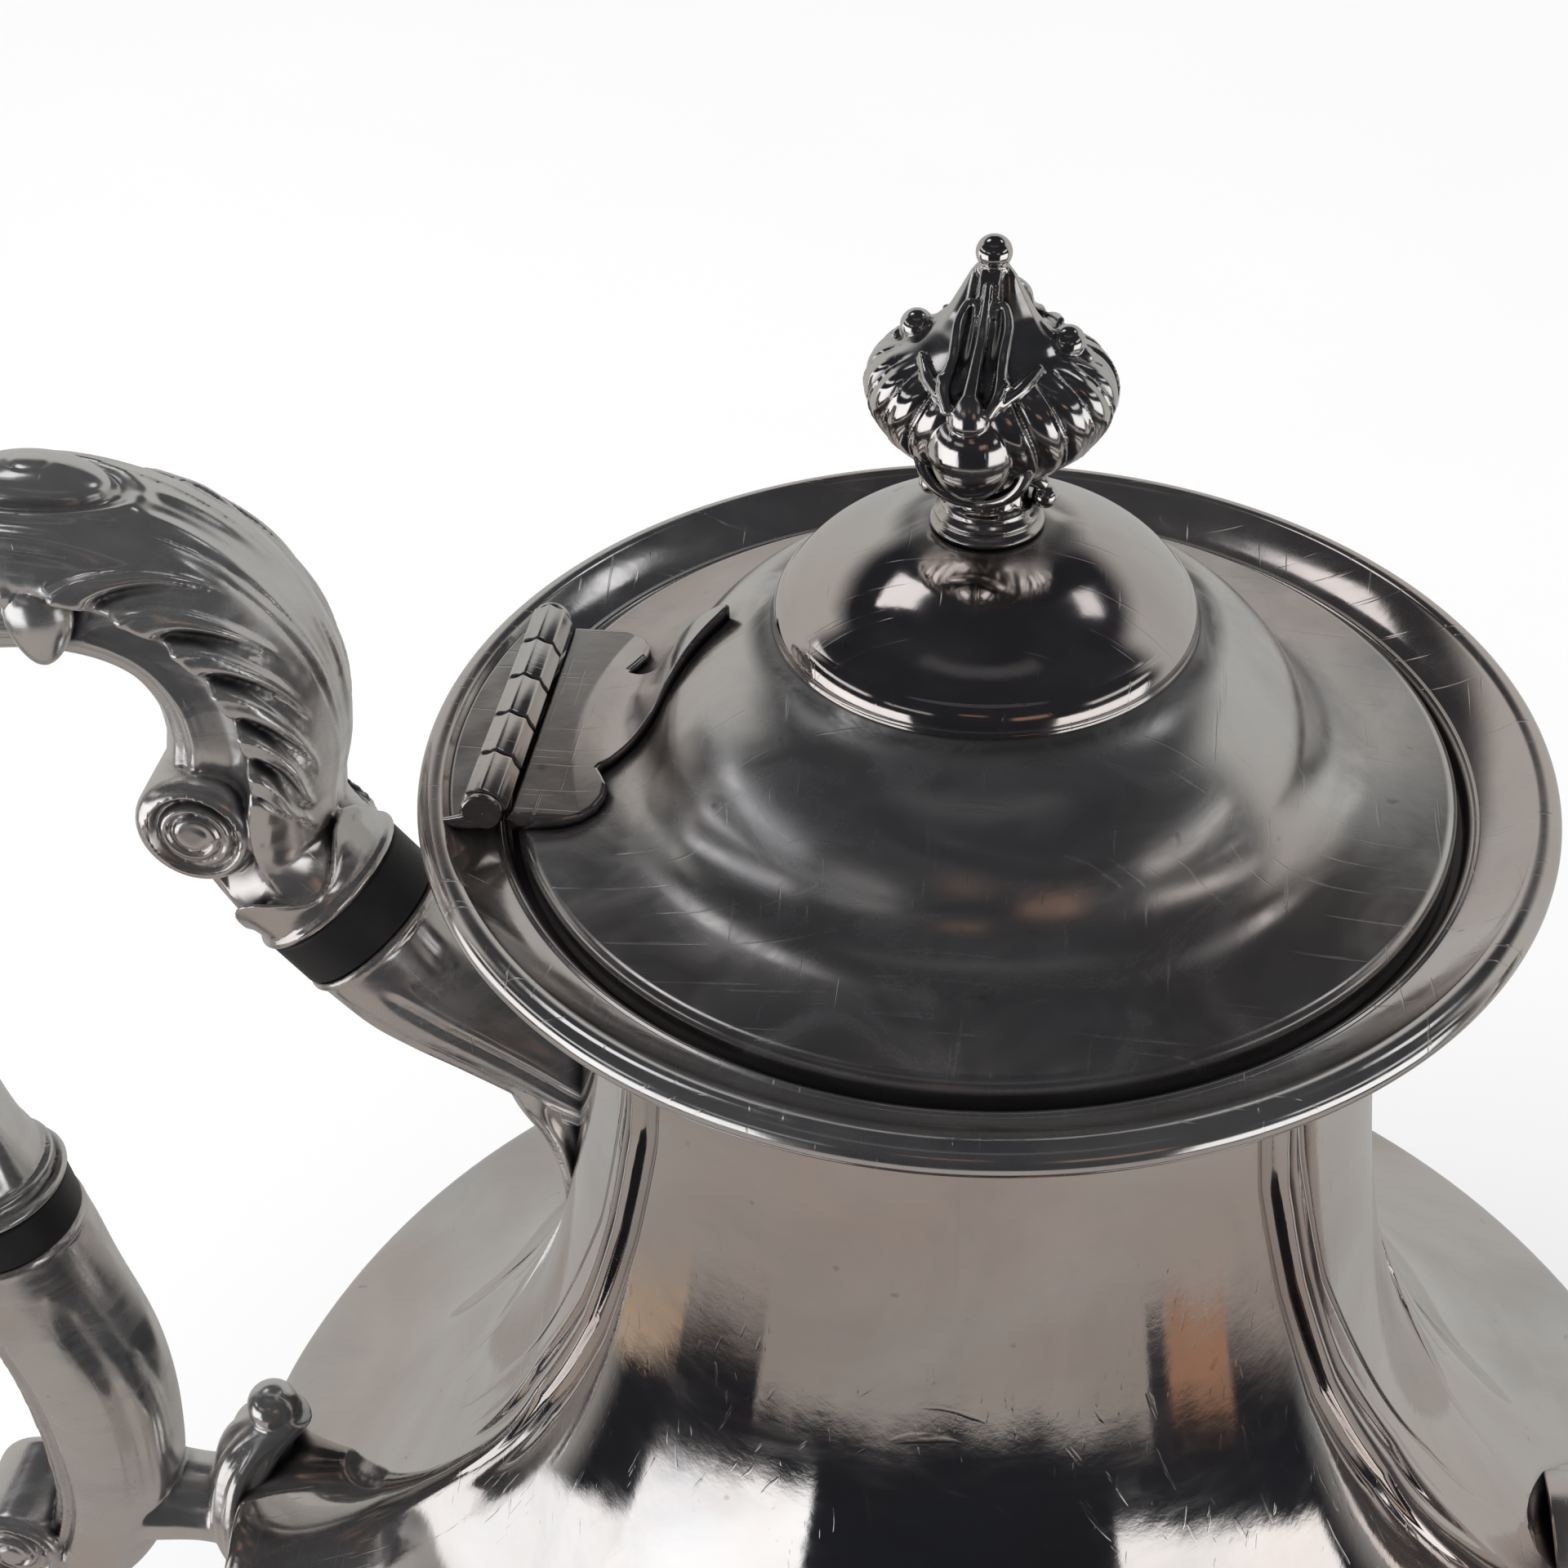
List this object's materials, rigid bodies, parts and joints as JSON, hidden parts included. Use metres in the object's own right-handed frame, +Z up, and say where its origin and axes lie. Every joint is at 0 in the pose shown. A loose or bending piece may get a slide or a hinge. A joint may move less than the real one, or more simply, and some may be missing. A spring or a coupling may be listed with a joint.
{
  "type": "coffee pot",
  "caption": "Footed coffee pot with a swan-neck spout, a hinged domed lid with a cast finial, and a scroll handle set on black heat insulators.",
  "frame": {"origin": "centre of the four-foot footprint on the table, on the pot's upright axis", "axes": "+Z up, +X towards the spout, -X towards the handle, -Y the front seen with the handle on the left"},
  "size_m": [0.2242, 0.1512, 0.2322],
  "materials": {
    "polished_silver": "polished silver plate, hazed and toned by tarnish",
    "lid_silver": "polished silver plate with satin smudges and fine scratches",
    "cast_silver": "cast silver plate, bright on the high relief and black in the recesses",
    "hinge_silver": "worn silver plate",
    "black_insulator": "matte black composition",
    "fixing_brass": "dull"
  },
  "bodies": {
    "pot": {"body_shell": "polished_silver", "base_plate": "polished_silver", "rim_collar": "polished_silver", "hinge_pot_leaf": "hinge_silver", "hinge_pin": "hinge_silver", "handle_grip": "cast_silver", "upper_socket": "cast_silver", "lower_bracket": "cast_silver", "upper_insulator": "black_insulator", "lower_insulator": "black_insulator", "insulator_pins": "fixing_brass", "spout": "cast_silver", "foot_back_right": "cast_silver", "foot_back_left": "cast_silver", "foot_front_left": "cast_silver", "foot_front_right": "cast_silver"},
    "lid": {"lid_cover": "lid_silver", "lid_crown": "lid_silver", "lid_bezel": "lid_silver", "finial": "cast_silver", "finial_stud": "fixing_brass", "finial_washer": "fixing_brass", "finial_nut": "fixing_brass", "hinge_lid_leaf": "hinge_silver"}
  },
  "joints": [
    {"name": "lid_hinge", "type": "hinge", "parent": "pot", "child": "lid", "pos_m": [-0.0368, 0, 0.1902], "axis": [0, -1, 0], "range_deg": [0, 95]}
  ]
}
